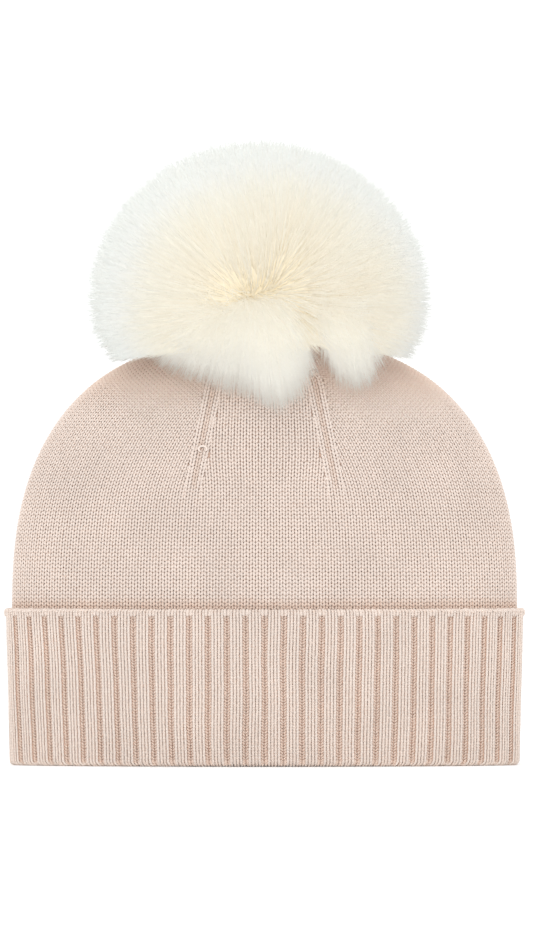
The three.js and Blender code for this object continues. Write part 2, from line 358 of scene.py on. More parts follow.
def metal_material(name, dark, bright, roughness):
    """Drawn or stamped metal: fine scratches in its roughness and bump, and a mottled tarnish."""
    material, shader, add, link = new_material(name)
    where = add("ShaderNodeTexCoord").outputs["Object"]
    tarnish = noise(add, link, where, 350.0)
    scratch = noise(add, link, where, 4200.0, 6.0)
    mix = add("ShaderNodeMix", data_type="RGBA")
    mix.inputs["A"].default_value = (*dark, 1)
    mix.inputs["B"].default_value = (*bright, 1)
    link(spread(add, link, tarnish, 0.0, 1.0), mix.inputs["Factor"])
    link(mix.outputs["Result"], shader.inputs["Base Color"])
    link(spread(add, link, scratch, roughness, roughness + 0.16), shader.inputs["Roughness"])
    link(relief(add, link, scratch, 0.12, 0.00005), shader.inputs["Normal"])
    shader.inputs["Metallic"].default_value = 1.0
    return material


def satin_material(name, colour):
    """Woven satin tape: fine weft lines in its bump and colour, and a soft gloss."""
    material, shader, add, link = new_material(name)
    where = add("ShaderNodeTexCoord").outputs["Object"]
    weft = add("ShaderNodeTexWave", bands_direction="Z", Scale=900.0, Distortion=0.6, Detail=1.0)
    link(where, weft.inputs["Vector"])
    mottle = spread(add, link, noise(add, link, where, 260.0), 0.95, 1.03)
    line = spread(add, link, weft.outputs["Fac"], 0.94, 1.0, from_low=0.0, from_high=1.0)
    link(shaded(add, link, colour, mottle, line), shader.inputs["Base Color"])
    link(relief(add, link, weft.outputs["Fac"], 0.3, 0.0001), shader.inputs["Normal"])
    link(spread(add, link, noise(add, link, where, 1500.0), 0.34, 0.5),
         shader.inputs["Roughness"])
    shader.inputs["Sheen Weight"].default_value = 0.4
    return material


# The yarns' dark low ends are painted shade: the stitches' tones drop there at the legs' ends, in
# the channels, on a dart's sunk wale, under the pom and above the cuff.
JERSEY_YARN = fibre_material("jersey_yarn", [
    (0.0, (0.66, 0.45, 0.35)), (0.5, (0.71, 0.57, 0.482)), (1.0, (0.755, 0.653, 0.588))])
RIB_YARN = fibre_material("rib_yarn", [
    (0.0, (0.72, 0.535, 0.435)), (0.5, (0.74, 0.60, 0.512)), (1.0, (0.762, 0.664, 0.598))])
# The ground is coloured darker than the yarns: painted shade in the gaps between the stitches.
GROUND_KNIT_PAINTED_SHADE = fibre_material("ground_knit_painted_shade", [
    (0.0, (0.58, 0.37, 0.265)), (1.0, (0.76, 0.56, 0.445))], bump=0.5, ridges=0.0016)
SEWING_YARN = fibre_material("sewing_yarn", [
    (0.0, (0.45, 0.31, 0.24)), (1.0, (0.80, 0.68, 0.59))])
FUR = fibre_material("fur", [
    (0.0, (0.80, 0.70, 0.52)), (0.4, (0.815, 0.78, 0.67)), (0.75, (0.80, 0.805, 0.765)),
    (1.0, (0.79, 0.82, 0.79))], grain=1800.0, mottle=60.0, bump=0.05, roughness=0.7,
    sheen=0.05, unevenness=0.3)
UNDERFUR_COAT = fibre_material("underfur_coat", [
    (0.0, (0.79, 0.68, 0.47)), (0.5, (0.81, 0.77, 0.66)), (1.0, (0.79, 0.80, 0.77))],
    grain=700.0, mottle=120.0, bump=0.5, roughness=0.9, sheen=0.1, unevenness=0.3)
FELT = fibre_material("felt", [
    (0.0, (0.66, 0.56, 0.46)), (1.0, (0.84, 0.76, 0.67))], grain=1500.0, bump=0.9)
FIBREFILL = fibre_material("fibrefill", [
    (0.0, (0.74, 0.72, 0.68)), (1.0, (0.93, 0.92, 0.89))], grain=900.0, bump=0.8)
BACKING_CLOTH = fibre_material("backing_cloth", [
    (0.0, (0.52, 0.40, 0.22)), (1.0, (0.80, 0.69, 0.46))], bump=0.7)
BRASS = metal_material("brass", (0.52, 0.38, 0.17), (0.74, 0.60, 0.34), 0.24)
STEEL = metal_material("steel", (0.48, 0.49, 0.51), (0.68, 0.69, 0.71), 0.18)
SATIN = satin_material("satin", (0.88, 0.85, 0.80))


# ---- Places on the knit ------------------------------------------------------------------------

class Wrap:
    """A closed outline that changes from row to row, such as the outside of the crown.

    A place on it is (around, row). around runs from 0 at the middle of the front, by 1 at the
    right-hand fold and 2 at the middle of the back, to 4, evenly along the outline.
    """

    EVEN = 200

    def __init__(self, half_width, half_depth, power, height):
        self.outlines = np.stack(np.broadcast_arrays(half_width, half_depth, power, height))
        half_width, half_depth, power, height = self.outlines
        turn = np.linspace(0, math.pi / 2, 500)
        x = half_width[:, None] * np.sin(turn)
        y = half_depth[:, None] * np.cos(turn) ** power[:, None]
        steps = np.hypot(np.diff(x), np.diff(y))
        run = np.concatenate([np.zeros((len(x), 1)), np.cumsum(steps, axis=1)], axis=1)
        even = np.linspace(0, 1, self.EVEN + 1)
        self.quarter = run[:, -1]
        self.turn = np.array([np.interp(even * r[-1], r, turn) for r in run])
        self.rows = len(height)
        self.height = height

    def __call__(self, around, row):
        around = np.mod(around, 4)
        quadrant = np.minimum(np.floor(around), 3)
        part = around - quadrant
        share = np.where(quadrant % 2 == 1, 1 - part, part)
        right = np.where(quadrant < 2, 1.0, -1.0)
        back = np.where((quadrant == 1) | (quadrant == 2), 1.0, -1.0)
        row = np.clip(row, 0, self.rows - 1)
        low = np.minimum(row.astype(int), self.rows - 2)
        up = row - low
        column = np.minimum((share * self.EVEN).astype(int), self.EVEN - 1)
        over = share * self.EVEN - column
        turn = sum(
            self.turn[low + i, column + j] * (up if i else 1 - up) * (over if j else 1 - over)
            for i in (0, 1) for j in (0, 1))
        outline = self.outlines[:, low] * (1 - up) + self.outlines[:, low + 1] * up
        half_width, half_depth, power, height = outline
        x = right * half_width * np.sin(turn)
        y = back * half_depth * np.clip(np.cos(turn), 0, 1) ** power
        return np.stack([x, y, height], -1)

    def axes(self, around, row, behind, ahead):
        """Places, and the directions sideways, upward along the path, and outward there."""
        up = unit(self(*ahead) - self(*behind))
        out = unit(np.cross(self.sideways(around, row), up))
        return self(around, row), np.cross(up, out), up, out

    def sideways(self, around, row, nudge=0.004):
        """Directions level with the outline, towards larger around."""
        return unit(self(around + nudge, row) - self(around - nudge, row))

    def grid(self, around, row, nudge):
        """Places and outward directions on a grid of (around, row)."""
        here = (around.ravel(), row.ravel())
        behind, ahead = ((here[0], np.clip(here[1] + step, 0, self.rows - 1))
                         for step in (-nudge, nudge))
        place, _, _, out = self.axes(*here, behind, ahead)
        return place.reshape(*row.shape, 3), out.reshape(*row.shape, 3)

    def even_steps(self, around, row, step, first):
        """Even steps along a path: (around, row) at each, and just behind and just ahead."""
        points = self(around, row)
        lengths = np.linalg.norm(np.diff(points, axis=0), axis=1)
        run = np.concatenate([[0], np.cumsum(lengths)])
        at = np.arange(first, run[-1] - step * 0.3, step)
        nudge = 0.3
        return [(np.interp(at + d, run, around), np.interp(at + d, run, row))
                for d in (0, -nudge, nudge)]


def four_ways(steps):
    """The same steps in each quarter of the hat."""
    turned = []
    for place in ((lambda a: a), (lambda a: 2 - a), (lambda a: 2 + a), (lambda a: 4 - a)):
        turned.append([(place(around), row) for around, row in steps])
    return turned


def dome_section(share):
    """Half the crown's width and half its depth, where the width is a share of its widest."""
    width, flat = CROWN_HIGH[0] * share, CROWN_HIGH[1] * share
    return width, flat + (width - flat) * (1 - share) ** 6


def crown_wrap():
    """The crown's outside: first the skirt behind the cuff, then the dome."""
    skirt = np.linspace(CROWN_LOW[2], CUFF_HEIGHT, SKIRT_ROWS)[:-1]
    tuck = CUFF_TAPER * (1 - skirt / CUFF_HEIGHT)
    last = math.acos((CROWN_HOLE / CROWN_HIGH[0]) ** (CROWN_POWER / 2))
    rise = np.linspace(0, 1, DOME_ROWS) ** 1.3 * last
    share = np.cos(rise) ** (2 / CROWN_POWER)
    dome_width, dome_depth = dome_section(share)
    dome_height = CUFF_HEIGHT + CROWN_HEIGHT * np.sin(rise) ** (2 / CROWN_POWER)
    power = 1 + (FOLD_POWER - 1) * np.minimum(1, 2 * share)
    return Wrap(
        np.concatenate([CROWN_HIGH[0] - tuck, dome_width]),
        np.concatenate([CROWN_HIGH[1] - tuck, dome_depth]),
        np.concatenate([np.full(len(skirt), FOLD_POWER), power]),
        np.concatenate([skirt, dome_height]))


def crown_face_depth(x, z):
    """How far the crown's face is from the middle plane at (x, z)."""
    rise = np.clip((z - CUFF_HEIGHT) / CROWN_HEIGHT, 0, 0.9999)
    half_width, depth = dome_section((1 - rise ** CROWN_POWER) ** (1 / CROWN_POWER))
    inside = np.clip(1 - (x / half_width) ** 2, 0, 1)
    return depth * inside ** (FOLD_POWER / 2)


def rib_wrap(profile):
    """The surface of a cuff or band from its profile, a list of (inset, z) points."""
    inset, z = np.array(profile).T
    narrowing = CUFF_TAPER * (1 - z / CUFF_HEIGHT) + inset
    return Wrap(CUFF_HIGH[0] - narrowing, CUFF_HIGH[1] - narrowing, FOLD_POWER, z)


def arc(centre_inset, centre_z, radius, start, end, steps=8):
    """Points of a round corner of a profile; angles in degrees, 0 outwards and 90 upwards."""
    angles = np.radians(np.linspace(start, end, steps))
    return [(centre_inset - radius * math.cos(a), centre_z + radius * math.sin(a))
            for a in angles]


CROWN = crown_wrap()


# ---- Stitches ----------------------------------------------------------------------------------

LEG = np.linspace(-1, 1, 5)      # rings along one leg of a stitch, from its foot to its head
LEG_SWELL = np.array([0.5, 0.93, 1.0, 0.93, 0.5])

# middle and splay place a leg, and thick is its radius, in shares of the wale's width. reach is
# half its length in shares of the course, and lift how far its middle stands out in millimetres.
JERSEY = {"middle": 0.25, "splay": 0.15, "reach": 0.66, "lift": 0.26, "thick": 0.235}
RIB = {"middle": 0.25, "splay": 0.03, "reach": 0.95, "lift": 0.20, "thick": 0.235}
PURL = {"middle": 0.25, "splay": -0.22, "reach": 0.60, "lift": 0.22, "thick": 0.16}
RIB_EDGE = {"middle": 0.25, "splay": 0.05, "reach": 0.9, "lift": 0.2, "thick": 0.26}
LINKING = {"middle": 0.22, "splay": 0.2, "reach": 0.7, "lift": 0.25, "thick": 0.19}


def leg_tone_and_shade(level, count):
    """Painted shade, dark where a leg dives into the fabric, and a tone a little different from
    stitch to stitch.
    """
    # painted shade towards both ends of the leg
    painted_end_shade = 1 - 0.5 * np.abs(LEG) ** 2.5
    return np.clip(painted_end_shade * level + rng.normal(0, 0.04, (count, 1)), 0, 1)


def add_legs(heap, axes, width, course, level, middle, splay, reach, lift, thick,
             drops=(0, 0), painted_leg_light=(1, 1)):
    """The two legs of each V. drops lower the left and the right leg, and the brightness given for
    each leg lightens or darkens it: painted light and shade.
    """
    place, side, up, out = axes
    count = len(place)
    width = np.broadcast_to(width, count)[:, None]
    level = np.broadcast_to(level, (count, 1))
    for hand, drop, painted_light in zip((-1, 1), drops, painted_leg_light):
        sideways = hand * width * (middle + splay * LEG) + rng.normal(0, 0.03, (count, 1))
        upward = course * reach * LEG + rng.normal(0, 0.04, (count, 1))
        outward = lift * (1 - 1.9 * LEG ** 2) - drop
        centres = (place[:, None, :] + sideways[:, :, None] * side[:, None, :]
                   + upward[:, :, None] * up[:, None, :]
                   + outward[None, :, None] * out[:, None, :])
        radii = thick * width * LEG_SWELL * rng.normal(1, 0.03, (count, 1))
        heap.add(centres, radii, out, leg_tone_and_shade(level * painted_light, count))


def crown_wales():
    """Paths of the crown's wales in the first quarter, as (around, row, mark): mark is 1 for the
    raised wales of a dart, -1 for the sunk one between them, and 0 for all others.

    Low down they share out the width. Above the darts' feet the middle panel's wales stand
    upright and the side panels' run beside the folded edge, both until they meet the dart, where
    three raised wales cover their ends.
    """
    height = CROWN.height
    base = int(np.searchsorted(height, CUFF_HEIGHT))
    z = height[base:]
    edge = CROWN.quarter[base:]
    count = WALES // 4
    foot_edge = np.interp(DART_FOOT_Z, z, edge)
    pitch = foot_edge / count
    foot_x = (DART_WALE + 0.5) * pitch
    dart = dart_line(z, foot_x)
    beside_dart = (DART_HALF_WALES + 0.2) * pitch
    bulge = 1 + 0.06 * hump(z, DART_FOOT_Z, 128, 128, DART_HEAD_Z)
    narrowing = np.minimum(1, edge / np.interp(DART_HEAD_Z, z, edge))
    skirt = np.arange(base, dtype=float)
    paths = []
    for wale in range(count):
        share = (wale + 0.5) / count
        start = share * foot_edge
        from_dart = wale - DART_WALE
        mark = 0
        if abs(from_dart) <= DART_HALF_WALES:
            mark = 1 if from_dart else -1
            high = dart + (start - foot_x) * np.maximum(narrowing, 0.6)
            inside = np.ones(len(z), bool)
        elif from_dart < 0:
            high = start * bulge * narrowing
            inside = high < dart - beside_dart
        else:
            high = edge - (foot_edge - start)
            inside = high > dart + beside_dart
        path = soften(np.where(z < DART_FOOT_Z, share * edge, high), z)
        inside |= z < DART_FOOT_Z + 1
        last = len(z) if inside.all() else int(np.argmin(inside))
        around = np.clip(path[:last], 0.3, edge[:last]) / edge[:last]
        paths.append((np.concatenate([np.full(base, share), around]),
                      np.concatenate([skirt, base + np.arange(last, dtype=float)]), mark))
    return paths


def soften(across, z):
    """Rounds the bend of a wale's path where it passes the darts' feet."""
    even = np.arange(z[0], z[-1], 1.0)
    values = np.interp(even, z, across)
    half = 12
    kernel = np.hanning(2 * half + 3)[1:-1]
    rounded = np.convolve(np.pad(values, half, mode="edge"), kernel / kernel.sum(), mode="valid")
    near = np.exp(-((even - DART_FOOT_Z) / 22) ** 2)
    return np.interp(z, even, values + (rounded - values) * near)


def dart_line(z, foot_x):
    """How far the dart is from the middle of the face at height z, along the knit."""
    line = np.interp(z, [DART_FOOT_Z, DART_HEAD_Z], [foot_x, DART_HEAD_X])
    top = smooth(z, DART_HEAD_Z, CROWN_TOP)
    return line * (1 - top) + 3 * top


def crown_painted_light_and_relief(place, mark):
    """How bright the crown's stitches are made, and how far they stand proud. A dart's outer
    wales are raised and get painted light, and its sunk middle wale painted shade; below the pom
    lies a painted shadow, just above the cuff painted shade, and the stitches are paler where
    the label shows through."""
    x, y, z = place.T
    marked = mark * smooth(z, DART_FOOT_Z - 1, DART_FOOT_Z + 4)
    raised = np.where(marked > 0, 0.30, 0.10) * marked
    # painted shadow under the pom, and painted shade just above the cuff
    painted_pom_shadow = 1 - 0.5 * smooth(z, 144, 164)
    painted_cuff_shade = 0.5 + 0.5 * smooth(z, CUFF_HEIGHT + 1, CUFF_HEIGHT + 6)
    # painted light on a dart's raised wales and painted shade on its sunk one
    level = (1 + np.where(marked > 0, 0.16, 0.25) * marked) * painted_pom_shadow * painted_cuff_shade
    label = hump(x, -2, 4, 17, 24) * hump(z, 66, 70, 78, 82)
    return level + 0.10 * label * (y < 0), raised


def build_crown():
    """The crown's jersey: a ground fabric and every stitch of its face."""
    heap = Heap(sides=4, flatten=0.85)
    for around, row, mark in crown_wales():
        steps = CROWN.even_steps(around, row, COURSE, COURSE * 0.4)
        for here, behind, ahead in four_ways(steps):
            place, side, up, out = CROWN.axes(*here, behind, ahead)
            pitch = np.interp(here[1], np.arange(CROWN.rows), CROWN.quarter) / (WALES / 4)
            slant = np.abs((CROWN.sideways(*here) * side).sum(-1))
            z = place[:, 2]
            width = np.where(z < DART_FOOT_Z, pitch, WALE_WIDTH) * np.clip(slant, 0.6, 1)
            width = width * (1 - 0.35 * smooth(z, DART_HEAD_Z, CROWN_TOP - 4))
            level, raised = crown_painted_light_and_relief(place, mark)
            place = place + out * (raised - FACE_DEPTH)[:, None]
            add_legs(heap, (place, side, up, out), width, COURSE, level[:, None], **JERSEY)
    heap.make("crown_stitches", JERSEY_YARN, "crown", "jersey_knit", "crown_shell")
    build_crown_ground()


def build_snag():
    """A small loop of yarn that stands out of the left-hand dart."""
    rings = 14
    turn = np.radians(np.linspace(-60, 255, rings))
    x = -25.6 + 1.7 * np.cos(turn)
    z = 131.2 + 1.2 * np.sin(turn)
    depth = crown_face_depth(x, z) + 0.5 + 0.5 * np.sin(np.linspace(0, math.pi, rings))
    centres = np.stack([x, -depth, z], -1)[None]
    heap = Heap(sides=8)
    swell = np.interp(np.arange(rings), [0, 2, 11, 13], [0.25, 0.46, 0.46, 0.25])
    heap.add(centres, swell[None], np.array([[0.0, -1.0, 0.0]]), 1.0)
    heap.make("dart_loop", JERSEY_YARN, "crown", "jersey_knit", "crown_shell")


def build_crown_ground():
    """The fabric behind the crown's stitches, with the purl side's bumps inside the hat."""
    columns = WALES * 2
    around = np.arange(columns) / columns * 4
    z_even = np.arange(CROWN_LOW[2], CUFF_HEIGHT, COURSE / 2)
    skirt_rows = np.interp(z_even, CROWN.height[:SKIRT_ROWS], np.arange(SKIRT_ROWS))
    dome_rows = SKIRT_ROWS - 1 + np.linspace(0, 1, 100) ** 0.8 * (CROWN.rows - SKIRT_ROWS)
    rows = np.concatenate([skirt_rows, dome_rows])
    grid_row, grid_around = np.meshgrid(rows, around, indexing="ij")
    place, out = CROWN.grid(grid_around, grid_row, 0.8)
    bump = 0.22 * np.where((np.arange(len(rows))[:, None] + np.arange(columns)) % 2, 1.0, -1.0)
    outer = place - out * 0.95
    inner = place - out * (1.85 + bump[:, :, None])
    points = np.concatenate([outer, inner[::-1]])
    # Painted shade outside, where the ground's dark colour shows; inside, the purl bumps are
    # lighter where they stand out and darker between them: painted light and shade.
    tone = np.concatenate([np.full(bump.shape, 1.0), (0.75 + bump)[::-1]])
    ground = closed_grid("crown_ground", points, tone)
    settle(ground, GROUND_KNIT_PAINTED_SHADE, "crown", "crown_shell")


def rib_drift(around, z):
    """How far the ribs wander sideways, in shares of a quarter: to the right going down near the
    left-hand fold, and a little everywhere, a rib and its neighbours together."""
    from_fold = np.mod(around + 1, 4)
    near_fold = np.where(from_fold > 3, 0, 1 - smooth(from_fold, 0.1, 0.8))
    lean = 0.012 * near_fold * (1 - z / CUFF_HEIGHT)
    sway = 0.0011 * (np.sin(z / 9.5 + around * 9) + 0.6 * np.sin(z / 5.1 + around * 5 + 2))
    return lean + sway


def add_rib_stitches(heap, wrap, face_depth, drift, channel_depth):
    """Every stitch of a 2x1 rib on a wrap: pairs of knit wales, and a purl wale between them.
    channel_depth(z, row) gives the channels' depth in shares of RIB_DEPTH."""
    rows = np.linspace(0, wrap.rows - 1, wrap.rows * 3)
    z = np.interp(rows, np.arange(wrap.rows), wrap.height)
    period = 4 / RIBS
    for rib in range(RIBS):
        centre = (rib + 0.5) * period
        for offset in (-KNIT_SHARE / 2, KNIT_SHARE / 2, 0.5):
            around = centre + offset * period + drift(centre, z)
            here, behind, ahead = wrap.even_steps(
                around, rows, RIB_COURSE, RIB_COURSE * rng.uniform(0.3, 0.6))
            place, side, up, out = wrap.axes(*here, behind, ahead)
            width = np.interp(here[1], np.arange(wrap.rows), wrap.quarter) * period
            if offset == 0.5:
                depth = channel_depth(place[:, 2], here[1])
                place = place - out * (face_depth + RIB_DEPTH * depth)[:, None]
                add_channel_wale(heap, (place, side, up, out), width, depth)
                continue
            place = place - out * face_depth
            # Painted light and shade: in each knit wale the leg nearer the channel is lowered and
            # lighter, the leg nearer the rib's middle darker.
            drops, painted_leg_light = (0.14, 0.0), (1.08, 0.90)
            if offset > 0:
                drops, painted_leg_light = drops[::-1], painted_leg_light[::-1]
            add_legs(heap, (place, side, up, out), width * KNIT_SHARE, RIB_COURSE, 1.0,
                     drops=drops, painted_leg_light=painted_leg_light, **RIB)


def add_channel_wale(heap, axes, width, depth):
    """The purl wale of a channel, darkened with painted shade down in the channel. Where the
    channel ends, at a cast-off edge, it is knit.
    """
    share = 1 - 2 * KNIT_SHARE
    purl = depth > 0.35
    knit = ~purl
    place, side, up, out = (values[purl] for values in axes)
    # level 0.45 darkens the purl stitches: painted shade in the channel
    add_legs(heap, (place, side, -up, out), width[purl] * (share + 0.12), RIB_COURSE, 0.45, **PURL)
    if knit.any():
        add_legs(heap, [values[knit] for values in axes], width[knit] * (share + 0.04),
                 RIB_COURSE, 0.92, **RIB_EDGE)


def rib_ground(name, wrap, inner_wrap, face_depth, drift, channel_depth, body, node):
    """The fabric behind a rib's stitches: its face follows the ribs and channels, with painted
    shade in the channels.
    """
    per_rib = 8
    rows = np.arange(wrap.rows, dtype=float)
    phase = np.arange(RIBS * per_rib) / per_rib
    rib_centre = (np.floor(phase) + 0.5) * 4 / RIBS
    grid_row, grid_around = np.meshgrid(rows, phase * 4 / RIBS, indexing="ij")
    z = np.interp(grid_row, rows, wrap.height)
    around = grid_around + drift(rib_centre[None, :], z)
    place, out = wrap.grid(around, grid_row, 0.5)
    from_rib = np.abs(np.mod(phase, 1) - 0.5)
    channel = smooth(from_rib, KNIT_SHARE - 0.07, KNIT_SHARE + 0.02)
    depth = channel_depth(z, grid_row) * channel[None, :] * RIB_DEPTH
    outer = place - out * (face_depth + 0.25 + depth)[:, :, None]
    inner = inner_wrap(around.ravel(), grid_row.ravel()).reshape(place.shape)
    points = np.concatenate([outer, inner[::-1]])
    # Painted shade: the face darkens the deeper it lies in a channel.
    tone = np.concatenate([0.9 - 0.4 * depth / RIB_DEPTH, np.full(depth.shape, 0.7)[::-1]])
    ground = closed_grid(name, points, tone)
    settle(ground, GROUND_KNIT_PAINTED_SHADE, body, node)
    return ground


def even_profile(profile, step):
    """The profile's points again, evenly spaced."""
    points = np.array(profile, float)
    run = np.concatenate([[0], np.cumsum(np.linalg.norm(np.diff(points, axis=0), axis=1))])
    at = np.linspace(0, run[-1], max(2, round(run[-1] / step)))
    return np.stack([np.interp(at, run, points[:, k]) for k in (0, 1)], -1)


def build_cuff():
    """The turned-up cuff, from inside its free edge, down the outside and round the rim."""
    edge_radius, rim_radius = 1.2, 2.4
    face = even_profile(
        [(2.3, CUFF_HEIGHT - 3.5)]
        + arc(edge_radius, CUFF_HEIGHT - edge_radius, edge_radius, 180, 0)
        + arc(rim_radius, rim_radius, rim_radius, 0, -90)
        + [(CUFF_WALL + GAP + BAND_WALL - 0.6, 0.0)], 1.0)[::-1]
    wrap = rib_wrap(face)
    z = face[:, 1]
    rows = np.arange(len(z), dtype=float)
    under = face[:, 0] > 1.5
    rim_row = rows[~under & (z < CUFF_HEIGHT / 2)].min()

    def channel_depth(height, row):
        below_edge = smooth(CUFF_HEIGHT - height, EDGE_BAND - 0.9, EDGE_BAND + 0.9)
        round_rim = smooth(row, rim_row - 1.0, rim_row + 3.0)
        return np.where(row > np.argmax(z), 0, below_edge * (0.25 + 0.75 * round_rim))

    heap = Heap(sides=4, flatten=0.85)
    add_rib_stitches(heap, wrap, FACE_DEPTH, rib_drift, channel_depth)
    add_cast_off(heap)
    heap.make("cuff_stitches", RIB_YARN, "cuff", "rib_knit", "cuff_turn_up")

    on_rim = under & (z < CUFF_HEIGHT / 2)
    back = np.stack([
        np.where(on_rim, np.minimum(face[:, 0] + 0.3, 5.8), CUFF_WALL),
        np.where(on_rim, RIM_THICKNESS, np.clip(z, RIM_THICKNESS, CUFF_HEIGHT - 0.9))], -1)
    ground = rib_ground("cuff_ground", wrap, rib_wrap(back), FACE_DEPTH, rib_drift,
                        channel_depth, "cuff", "cuff_turn_up")


def add_cast_off(heap):
    """The chain of cast-off stitches, which lies on the inner side of the cuff's free edge."""
    wrap = rib_wrap([(1.9, CUFF_HEIGHT - 0.9), (1.9, CUFF_HEIGHT - 0.8)])
    count = WALES
    around = (np.arange(count) + 0.5) * 4 / count
    place = wrap(around, np.zeros(count))
    side = wrap.sideways(around, np.zeros(count), 0.01)
    up = np.tile([0.0, 0.0, 1.0], (count, 1))
    out = np.cross(side, up)
    slant = unit(up * 0.8 - out * 0.6)
    pitch = wrap.quarter[0] * 4 / count
    lean = np.cross(slant, side)
    for hand in (-1, 1):
        sideways = pitch * 0.72 * LEG
        outward = 0.35 * (1 - 1.3 * LEG ** 2)
        beside = hand * (0.36 + 0.16 * LEG)
        centres = (place[:, None, :] + sideways[None, :, None] * side[:, None, :]
                   + outward[None, :, None] * slant[:, None, :]
                   + beside[None, :, None] * lean[:, None, :])
        radii = np.tile(0.42 * LEG_SWELL, (count, 1))
        heap.add(centres, radii, slant, leg_tone_and_shade(0.9, count))


def build_band():
    """The band behind the cuff, which shows when the cuff is turned down."""
    outside = CUFF_WALL + GAP
    inside = outside + BAND_WALL
    face = even_profile([(outside, BAND_LOW[2]), (outside, BAND_HIGH[2])], 1.2)
    back = even_profile([(inside, BAND_LOW[2]), (inside, BAND_HIGH[2])], 1.2)
    wrap = rib_wrap(face)

    def no_drift(around, z):
        return 0 * z

    def channel_depth(height, row):
        ends = smooth(height, BAND_LOW[2], BAND_LOW[2] + 3)
        return 0.85 * ends * smooth(BAND_HIGH[2] - height, 0.2, 4)

    heap = Heap(sides=4, flatten=0.85)
    add_rib_stitches(heap, wrap, BAND_FACE_DEPTH, no_drift, channel_depth)
    heap.make("band_stitches", RIB_YARN, "crown", "rib_knit", "rib_band")
    ground = rib_ground("band_ground", wrap, rib_wrap(back), BAND_FACE_DEPTH, no_drift,
                        channel_depth, "crown", "rib_band")


def turns(count):
    """Even angles round a circle."""
    return 2 * math.pi * np.arange(count) / count


def heights(node):
    """The lowest and the highest Z of a CAD node, in millimetres."""
    low, high = box_mm(node)
    return low[2], high[2]


def turned_piece(name, profile, rounding=0.15):
    """A solid of revolution from a closed loop of (radius, z) points, with rounded edges."""
    radius, z = np.array(profile, float).T
    piece = closed_grid(name, ring_points(turns(96), radius, z))
    merge_doubles(piece)
    bevel = piece.modifiers.new("rounding", "BEVEL")
    bevel.width = rounding * MM
    bevel.segments = 3
    bevel.limit_method = "ANGLE"
    return piece


def build_snap():
    """The brass snap: its post and stud on the hat, its socket and cap on the pom."""
    bore, rivet, flange = 1.9, 1.5, 6
    low, high = heights("snap_post")
    turned_snap_piece("snap_post", "crown", [
        (0, low), (flange - 0.5, low), (flange, low + 0.5), (flange, low + 1),
        (rivet, low + 1), (rivet, high), (0, high)])
    low, high = heights("snap_stud")
    roof = high + GAP
    turned_snap_piece("snap_stud", "crown", [
        (bore, low), (5.2, low), (5.2, low + 0.7), (4.8, low + 1), (2.8, low + 1),
        (2.8, low + 2.1), (3.3, low + 2.7), (3.3, high - 0.6), (2.7, high), (bore, high)])
    low, high = heights("snap_socket")
    turned_snap_piece("snap_socket", "pom", [
        (3.8, low), (6.3, low), (6.6, low + 0.3), (6.6, high - 0.4), (6.2, high), (bore, high),
        (bore, roof), (5.2, roof), (5.2, low + 0.3), (3.8, low + 0.3)], rounding=0.08)
    low, high = heights("snap_cap")
    turned_snap_piece("snap_cap", "pom", [
        (0, low), (rivet, low), (rivet, high - 1), (flange, high - 1),
        (flange, high - 0.4), (flange - 0.5, high), (0, high)])


def turned_snap_piece(node, body, profile, **rounding):
    """One brass piece of the snap."""
    piece = turned_piece(f"{node}_turned", profile, **rounding)
    settle(piece, BRASS, body, node)


def build_snap_spring():
    """The ring spring between the stud and the socket, with the gap between its ends."""
    low, high = heights("snap_spring")
    wire = (high - low) / 2
    turn = np.radians(np.linspace(15, 345, 90))
    radius = 4.4
    centres = np.stack([
        radius * np.cos(turn), radius * np.sin(turn), np.full(len(turn), low + wire)], -1)
    heap = Heap(sides=16)
    heap.add(centres[None], np.full((1, len(turn)), wire), np.array([[0.0, 0.0, 1.0]]), 0.5)
    heap.make("snap_ring_spring", STEEL, "snap_ring", "spring_wire", "snap_spring")


def build_yarn_ring(name, node, body):
    """A ring of two-ply yarn, drawn tight round a gathered edge."""
    low, high = box_mm(node)
    wire = (high[2] - low[2]) / 2
    radius = high[0] - wire
    twists = round(2 * math.pi * radius / (5 * wire))
    rows, sides = 16 * twists, 10
    around, spin = turns(rows), turns(sides)
    radial = np.stack([np.cos(around), np.sin(around), 0 * around], -1)[:, None, :]
    up = np.array([0.0, 0.0, 1.0])
    for ply in (1, 2):
        twist = twists * around + ply * math.pi
        centre = (radial[:, 0] * (radius + 0.5 * wire * np.cos(twist))[:, None]
                  + up * ((low[2] + high[2]) / 2 + 0.5 * wire * np.sin(twist))[:, None])
        thick = 0.5 * wire * (1 + 0.05 * lumps(radial[:, 0], 0.2))[:, None, None]
        section = np.cos(spin)[None, :, None] * radial + np.sin(spin)[None, :, None] * up
        tone = np.full((rows, sides), 0.8)
        piece = closed_grid(f"{name}_{ply}", centre[:, None, :] + thick * section, tone)
        settle(piece, SEWING_YARN, body, node)


class SoftRing:
    """A flat ring that fills a CAD node's box, with a rounded section. Points on it are a grid
    of around by spin."""

    BORE = 2.0

    def __init__(self, node, rows, sides, squareness):
        low, high = box_mm(node)
        self.outer = high[0]
        self.middle, self.half = (low[2] + high[2]) / 2, (high[2] - low[2]) / 2
        self.around, spin = turns(rows), turns(sides)
        across, self.upward = (np.sign(way) * np.abs(way) ** squareness
                               for way in (np.cos(spin), np.sin(spin)))
        self.radius = (self.BORE + self.outer) / 2 + (self.outer - self.BORE) / 2 * across

    def points(self, swell=1):
        """The ring's surface, its thickness times swell."""
        return ring_points(self.around, self.radius,
                           self.middle + self.half * self.upward * swell)


